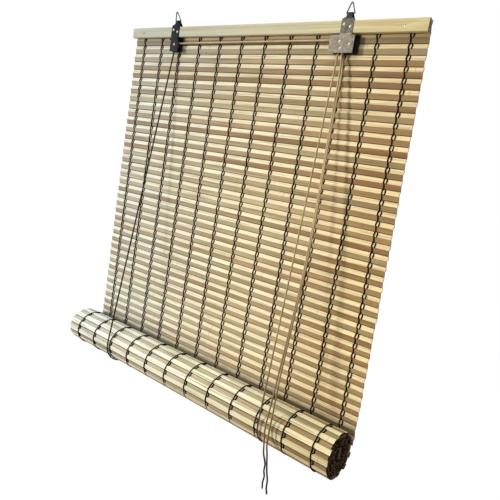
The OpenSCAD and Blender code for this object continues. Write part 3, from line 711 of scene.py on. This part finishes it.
def bamboo_material():
    """Bamboo with grain and joints, and with painted light and shade in its colour. Attributes mark brown
    slats, rear faces, edges and inner turns.
    """
    made, start = start_material("bamboo_slats")
    brown, tone, rim, rear, inner = (start.node("ShaderNodeAttribute", {"attribute_name": name}, out="Fac")
                                     for name in ("brown", "tone", "rim", "rear", "inner"))
    place = start.node("ShaderNodeTexCoord", out="Object")
    along, level = (start.node("ShaderNodeSeparateXYZ", None, {0: place}, axis) for axis in (0, 2))
    # painted shade on the upper slats, and painted light on the lower brown ones
    top_shade, foot_light = level.clamp(*TOP_SHADE), level.clamp(*FOOT_LIGHT)
    fine = streaks(start, (14, 900, 1500), 5.0, tone * 9)
    broad = streaks(start, (7, 90, 140), 3.0, tone * 7)
    stripe = streaks(start, (11, 330, 460), 2.0, tone * 5)
    light = start.mix(rear, painted_light_tint(start, LIGHT_LEFT, LIGHT_MID, LIGHT_RIGHT),
                      painted_light_tint(start, REAR_LIGHT_LEFT, REAR_LIGHT_MID, REAR_LIGHT_RIGHT))
    light = start.mix((tone ** 3) * 0.4 + broad.clamp(0.48, 0.75) * 0.35, light, LIGHT_WORN)
    pale = start.mix(rear, painted_light_tint(start, PALE_LEFT, PALE_MID, PALE_RIGHT),
                     painted_light_tint(start, REAR_PALE_LEFT, REAR_PALE_MID, REAR_PALE_RIGHT))
    dark = start.mix(tone * 0.6 + broad.clamp(0.4, 0.7) * 0.4 + top_shade * 0.3 - foot_light * 0.12, pale,
                     painted_light_tint(start, DEEP_LEFT, DEEP_MID, DEEP_RIGHT))
    hue = ((tone * 7.3) % 1.0) * 0.5 + streaks(start, (8, 40, 60), 2.0, tone * 3) * 0.5
    dark = start.mix(hue.clamp(0.52, 0.8) * 0.4, dark, RED_PATCH)
    dark = start.mix(hue.clamp(0.45, 0.2) * 0.4, dark, GREEN_PATCH)
    # painted shade: the first slat under the rail is darkened towards brown, as the rail shades it
    rail_shade_foot = rail_low.z - FIRST_SLAT
    first = level.clamp(rail_shade_foot - FADE_H, rail_shade_foot) * (1 - rear) * 0.6
    base = start.mix(start.math("MAXIMUM", brown, first), light, dark)
    # painted shade: the lowest hanging slats, just above the roll, are greyed
    last = level.clamp(*FOOT_SHADE) * (1 - rear) * 0.5
    base = start.mix(start.math("MAXIMUM", top_shade * 0.17, last), base, SHADED)
    base = start.mix(stripe.clamp(0.5, 0.68) * (rear * 0.15 + 0.4), base, GRAIN_DARK)
    base = start.mix(fine.clamp(0.5, 0.75) * 0.3, base, GRAIN_DARK)
    # painted shade: thin dark lines at the top and bottom edges of the brown slats, where the pleat's
    # valleys lie
    low_edge_shade = rim.clamp(-0.66, -0.76) * brown
    high_edge_shade = rim.clamp(0.9, 0.96) * brown
    base = start.mix(low_edge_shade * 0.9 + high_edge_shade * 0.5, base, VALLEY_SHADE)
    from_joint = start.math("ABSOLUTE", (along + tone * 3) % KNOT_SPACE - KNOT_SPACE / 2)
    joint = 1 - from_joint.clamp(KNOT_HALF * 0.4, KNOT_HALF)
    base = start.mix(joint * 0.35, base, GRAIN_DARK)
    # painted shade: the ends of the inner turns, deep in the roll, take the dark end colour
    inner_end_shade = inner * start.math("ABSOLUTE", along).clamp(*INNER_END_SHADE)
    ends = end_grain_and_shade(start)
    base = start.mix(inner_end_shade, base, ends)
    colour = start.mix(cut_end(start), base, ends)
    height = fine * 0.5 - joint
    bump = start.node("ShaderNodeBump", None, {"Strength": 0.3, "Distance": 0.2 * MM, "Height": height})
    shader = start.node("ShaderNodeBsdfPrincipled", None, {
        "Base Color": colour, "Roughness": fine * 0.2 + 0.5, "Specular IOR Level": 0.06, "Normal": bump})
    start.node("ShaderNodeOutputMaterial", None, {"Surface": shader})
    return made


def slat_mesh(length):
    """One slat that lies along X, with eased edges and a slightly crowned face on both sides."""
    half_t, half_h = SLAT_T / 2, (slat_pitch - SLAT_GAP) / 2
    ease = 0.35 * MM
    crown = 0.08 * MM
    quarter = [(half_t, 0), (half_t - crown, half_h - ease), (half_t - ease, half_h)]
    outline = (quarter + [(-y, z) for y, z in reversed(quarter)]
               + [(-y, -z) for y, z in quarter[1:]] + [(y, -z) for y, z in reversed(quarter[1:])])
    count = len(outline)
    verts = [(x, y, z) for x in (-length / 2, length / 2) for y, z in outline]
    faces = [(k, (k + 1) % count, count + (k + 1) % count, count + k) for k in range(count)]
    faces += [tuple(reversed(range(count))), tuple(range(count, 2 * count))]
    mesh = bpy.data.meshes.new("slat")
    mesh.from_pydata(verts, [], faces)
    shape = bmesh.new()
    shape.from_mesh(mesh)
    bmesh.ops.recalc_face_normals(shape, faces=shape.faces)
    shape.to_mesh(mesh)
    shape.free()
    rim = mesh.attributes.new("rim", "FLOAT", "POINT")
    rear = mesh.attributes.new("rear", "FLOAT", "POINT")
    for vertex in mesh.vertices:
        rim.data[vertex.index].value = vertex.co.z / half_h
        rear.data[vertex.index].value = float(vertex.co.y > 0)
    return mesh


def start_growth(name, sizes):
    """A geometry tree with named inputs for its sizes, and its wires."""
    tree = bpy.data.node_groups.new(name, "GeometryNodeTree")
    tree.interface.new_socket("Geometry", in_out="INPUT", socket_type="NodeSocketGeometry")
    for key, value in sizes.items():
        kind = "NodeSocketInt" if isinstance(value, int) else "NodeSocketFloat"
        tree.interface.new_socket(key, in_out="INPUT", socket_type=kind)
    tree.interface.new_socket("Geometry", in_out="OUTPUT", socket_type="NodeSocketGeometry")
    entry = tree.nodes.new("NodeGroupInput")
    wires = {socket.name: Wire(tree, socket) for socket in entry.outputs if socket.name}
    return Wire(tree), wires


def grow(name, start, shape, material, sizes, base):
    """Runs a tree on a base mesh and keeps the result as a plain mesh."""
    real = start.node("GeometryNodeRealizeInstances", None, {"Geometry": shape})
    painted = start.node("GeometryNodeSetMaterial", None, {"Geometry": real, "Material": material})
    start.node("NodeGroupOutput", None, {"Geometry": painted})
    piece = bpy.data.objects.new(name, base)
    scene.collection.objects.link(piece)
    growth = piece.modifiers.new("growth", "NODES")
    growth.node_group = start.tree
    for item in start.tree.interface.items_tree:
        if item.in_out == "INPUT" and item.name in sizes:
            growth[item.identifier] = sizes[item.name]
    view = bpy.context.evaluated_depsgraph_get()
    mesh = bpy.data.meshes.new_from_object(piece.evaluated_get(view))
    piece.modifiers.clear()
    piece.data = mesh
    return piece


def chance(start, low, high, seed):
    """A random value for each slat."""
    return start.node("FunctionNodeRandomValue", {"data_type": "FLOAT"}, {2: low, 3: high, 8: seed}, 1)


def marked(start, shape, name, value):
    """Writes a value on each instance."""
    return start.node("GeometryNodeStoreNamedAttribute", {"data_type": "FLOAT", "domain": "INSTANCE"},
                      {"Geometry": shape, "Name": name, "Value": value})


def vector(start, x, y, z):
    return start.node("ShaderNodeCombineXYZ", None, {0: x, 1: y, 2: z})


def slat_place(size, slat, share):
    """Is a slat brown, how tall is it, and where does a share of it lie, the last two in mean slats."""
    brown = slat % 2.0
    light = size["Light share"]
    height = brown * (2 - light * 4) + light * 2
    return brown, height, slat + brown * (light * 2 - 1) + height * share


def hung(size, steps):
    """Drop below the mat's top: the weight below draws the upper slats apart."""
    return steps * (size["Pitch"] + (float(HANG_SLATS) - steps) * DRAW_OUT)


def along_spiral(start, size, steps):
    """Radius and angle of the roll's mid line, a number of mean slats from where it starts."""
    wound = steps * size["Pitch"] * size["Turn"] / math.pi
    radius = start.math("SQRT", size["Start radius"] * size["Start radius"] - wound)
    return radius, (size["Start radius"] - radius) / size["Turn"] * (2 * math.pi)


def sagged(start, size, shape):
    """The roll is looser towards its right end, and its lower half sags there."""
    shape = start.node("GeometryNodeRealizeInstances", None, {"Geometry": shape})
    spot = start.node("GeometryNodeInputPosition")
    x, z = (start.node("ShaderNodeSeparateXYZ", None, {0: spot}, axis) for axis in (0, 2))
    depth = (size["Z"] - z) / size["Start radius"]
    drop = start.math("MAXIMUM", depth, 0.0) * (x.clamp(0.0, 0.3) ** 2) * ROLL_SAG
    return start.node("GeometryNodeSetPosition", None, {
        "Geometry": shape, "Offset": vector(start, 0.0, 0.0, drop * -1)})


def lay_slats(name, sizes, length, seed, wound):
    """Slats in a row: hanging in a pleat, or wound in a spiral."""
    start, size = start_growth(name, sizes)
    index = start.node("GeometryNodeInputIndex")
    brown, height, middle = slat_place(size, index, 0.5)
    shift = chance(start, size["Shift"] * -1, size["Shift"], seed) + size["X"]
    jolt = chance(start, size["Jolt"] * -1, size["Jolt"], seed + 1)
    if wound:
        radius, angle = along_spiral(start, size, middle)
        tall = height * size["Pitch"]
        chord = radius - tall * tall / (radius * 8)
        place = vector(start, shift, size["Y"] + chord * start.math("COSINE", angle),
                       size["Z"] - chord * start.math("SINE", angle))
        turn = jolt - angle
    else:
        place = vector(start, shift, size["Y"], size["Z"] - hung(size, middle))
        drawn = height * (size["Pitch"] + (float(HANG_SLATS) - middle * 2) * DRAW_OUT)
        turn = (brown * 2 - 1) * start.math("ARCTAN2", 2 * PLEAT, drawn) + jolt
        tall = start.math("SQRT", drawn * drawn + (2 * PLEAT) ** 2)
    points = start.node("GeometryNodeMeshLine", None, {"Count": size["Count"]})
    points = start.node("GeometryNodeSetPosition", None, {"Geometry": points, "Position": place})
    slats = start.node("GeometryNodeInstanceOnPoints", None, {
        "Points": points, "Instance": size["Geometry"], "Rotation": vector(start, turn, 0.0, 0.0),
        "Scale": vector(start, 1.0, 1.0, tall / size["Pitch"])})
    slats = marked(start, slats, "brown", brown)
    tone = chance(start, 0.0, 1.0, seed + 2)
    if wound:
        # painted shade: slats low on the roll's front are made browner
        tone = tone * 0.55 + (index / size["Outer slats"]).clamp(*ROLL_SHADE_BELOW) * 0.45
    slats = marked(start, slats, "tone", tone)
    slats = marked(start, slats, "inner", (index / size["Outer slats"] - 1).clamp(0.0, 0.1))
    if wound:
        slats = sagged(start, size, slats)
    return grow(name, start, slats, bamboo, sizes, slat_mesh(length))


bamboo = bamboo_material()
hanging = {"Count": HANG_SLATS, "Light share": LIGHT_SHARE, "Pitch": slat_pitch, "X": SLAT_SHIFT, "Y": mat_y,
           "Z": mat_high.z, "Shift": 0.7 * MM, "Jolt": math.radians(1.2), "Outer slats": float(HANG_SLATS)}
hanging_slats = lay_slats("hanging_slats", hanging, slat_length + SLAT_OVERHANG, HANG_SEED, False)
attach(hanging_slats, "head")
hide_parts("hanging_mat")
shorten(hanging_slats)


# Roll: the rest of the mat, wound under and forward round its bottom batten, with uneven ends. It is
# looser and sags towards its right end, and the slats low on its front are painted browner than those on
# top, as painted shade.
ROLL_SLATS = 120
TURN_PITCH = 2.9 * MM
REAR_LIGHT_SHARE = 0.53
ROLL_SAG = 6.0 * MM
ROLL_SHIFT = -2.0 * MM
ROLL_TRIM = 4.0 * MM
ROLL_SEED = 23
ROLL_SHADE_BELOW = (0.65, 0.45)
roll_sizes = {"Count": ROLL_SLATS, "Light share": REAR_LIGHT_SHARE, "Pitch": slat_pitch, "X": ROLL_SHIFT,
              "Y": roll_axis.y, "Z": roll_axis.z, "Start radius": mat_y - roll_axis.y, "Turn": TURN_PITCH,
              "Shift": 1.8 * MM, "Jolt": math.radians(2.0), "Outer slats": 26.0}
roll_low, roll_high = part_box("bamboo_roll")
rolled_slats = lay_slats("rolled_slats", roll_sizes, roll_high.x - roll_low.x - ROLL_TRIM, ROLL_SEED, True)
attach(rolled_slats, "roll")
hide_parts("bamboo_roll")


# Warps: twelve bundles of dark spun thread. One thread runs down the front and one down the back, and
# a third weaves between them: it passes in front of each light slat and behind each brown one.
WARPS = 12
WARP_PITCH = 50 * MM
WARP_SHIFT = 2.3 * MM
THREAD_R = 1.05 * MM
THREAD_SIDES = 5
RINGS_PER_SLAT = 8
FRONT_END = 2.4 * MM
BACK_END = 1.2 * MM
THREAD_DARK = (0.003, 0.002, 0.002, 1)
THREAD_LIGHT = (0.014, 0.009, 0.007, 1)


def thread_material():
    """Nearly black spun thread."""
    made, start = start_material("warp_thread")
    place = start.node("ShaderNodeTexCoord", out="Object")
    spun = start.node("ShaderNodeTexNoise", None, {"Vector": place, "Scale": 1400.0, "Detail": 3.0})
    colour = start.mix(spun.clamp(0.35, 0.7), THREAD_DARK, THREAD_LIGHT)
    bump = start.node("ShaderNodeBump", None, {"Strength": 0.6, "Distance": 0.2 * MM, "Height": spun})
    shader = start.node("ShaderNodeBsdfPrincipled", None, {
        "Base Color": colour, "Roughness": 0.9, "Specular IOR Level": 0.05, "Normal": bump})
    start.node("ShaderNodeOutputMaterial", None, {"Surface": shader})
    return made


def lay_threads(name, sizes, strands, wound):
    """Threads along the mat. A strand gives its side, its spread and on which face it lies, 0 for both."""
    start, size = start_growth(name, sizes)
    index = start.node("GeometryNodeInputIndex")
    steps = index / float(RINGS_PER_SLAT) - size["Above"] / size["Pitch"]
    slat = start.math("FLOOR", steps)
    share = steps - slat
    brown, height, place_on = slat_place(size, slat, share)
    pleat = (1 - share * 2) * (1 - brown * 2)
    arch = start.math("SINE", share * math.pi)
    ring = start.node("GeometryNodeCurvePrimitiveCircle", None,
                      {"Resolution": THREAD_SIDES, "Radius": size["Thread radius"]})
    runs = start.node("GeometryNodeJoinGeometry")
    joined = runs.socket.node
    for side, near, spread, face in strands:
        spreads = (1 - brown) if face else brown * 0.4 + 1
        x = (arch ** 0.15) * spreads * (side * spread) + (side * near + size["X"])
        outside = face if face else (arch ** 0.4) * (brown * 2 - 1)
        rise = outside * (size["Thread radius"] * 0.4 + SLAT_T / 2)
        if wound:
            radius, angle = along_spiral(start, size, place_on)
            tall = height * size["Pitch"]
            dip = arch * (tall * tall / (radius * 8))
            reach = radius - dip + rise
            place = vector(start, x, size["Y"] + reach * start.math("COSINE", angle),
                           size["Z"] - reach * start.math("SINE", angle))
        else:
            place = vector(start, x, size["Y"] + pleat * PLEAT + rise, size["Z"] - hung(size, place_on))
        line = start.node("GeometryNodeMeshLine", None, {"Count": size["Count"]})
        line = start.node("GeometryNodeSetPosition", None, {"Geometry": line, "Position": place})
        line = start.node("GeometryNodeMeshToCurve", None, {"Mesh": line})
        swept = start.node("GeometryNodeCurveToMesh", None,
                           {"Curve": line, "Profile Curve": ring, "Fill Caps": True})
        start.tree.links.new(swept.socket, joined.inputs[0])
    across = start.node("GeometryNodeMeshLine", None, {"Count": WARPS})
    spot = vector(start, (index - (WARPS - 1) / 2) * WARP_PITCH, 0.0, 0.0)
    across = start.node("GeometryNodeSetPosition", None, {"Geometry": across, "Position": spot})
    warps = start.node("GeometryNodeInstanceOnPoints", None, {"Points": across, "Instance": runs})
    if wound:
        warps = sagged(start, size, warps)
    return grow(name, start, warps, dark_thread, sizes, bpy.data.meshes.new(name))


dark_thread = thread_material()
FRONT_THREAD = (-1, 0.9 * MM, 1.4 * MM, -1)
BACK_THREAD = (-1, 0.7 * MM, 0.6 * MM, 1)
WEAVING_THREAD = (1, 0.4 * MM, 2.3 * MM, 0)


def hanging_warps(name, strands, above):
    run = {"Count": int((HANG_SLATS + above / slat_pitch) * RINGS_PER_SLAT), "Light share": LIGHT_SHARE,
           "Pitch": slat_pitch, "X": WARP_SHIFT, "Y": mat_y, "Z": mat_high.z, "Above": above,
           "Thread radius": THREAD_R}
    return lay_threads(name, run, strands, False)


front_warps = hanging_warps("front_warps", (FRONT_THREAD, WEAVING_THREAD), FRONT_END)
back_warps = hanging_warps("back_warps", (BACK_THREAD,), BACK_END)
for piece in (front_warps, back_warps):
    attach(piece, "head")
    shorten(piece)
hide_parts("mat_warps")

SHOWN_SLATS = 22
rolled_run = {"Count": SHOWN_SLATS * RINGS_PER_SLAT, "Light share": REAR_LIGHT_SHARE, "Pitch": slat_pitch,
              "X": 0.0, "Y": roll_axis.y, "Z": roll_axis.z, "Start radius": mat_y - roll_axis.y,
              "Turn": TURN_PITCH, "Above": 0.0, "Thread radius": THREAD_R}
rolled_warps = lay_threads("rolled_warps", rolled_run, (BACK_THREAD, WEAVING_THREAD), True)
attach(rolled_warps, "roll")
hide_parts("roll_warps")
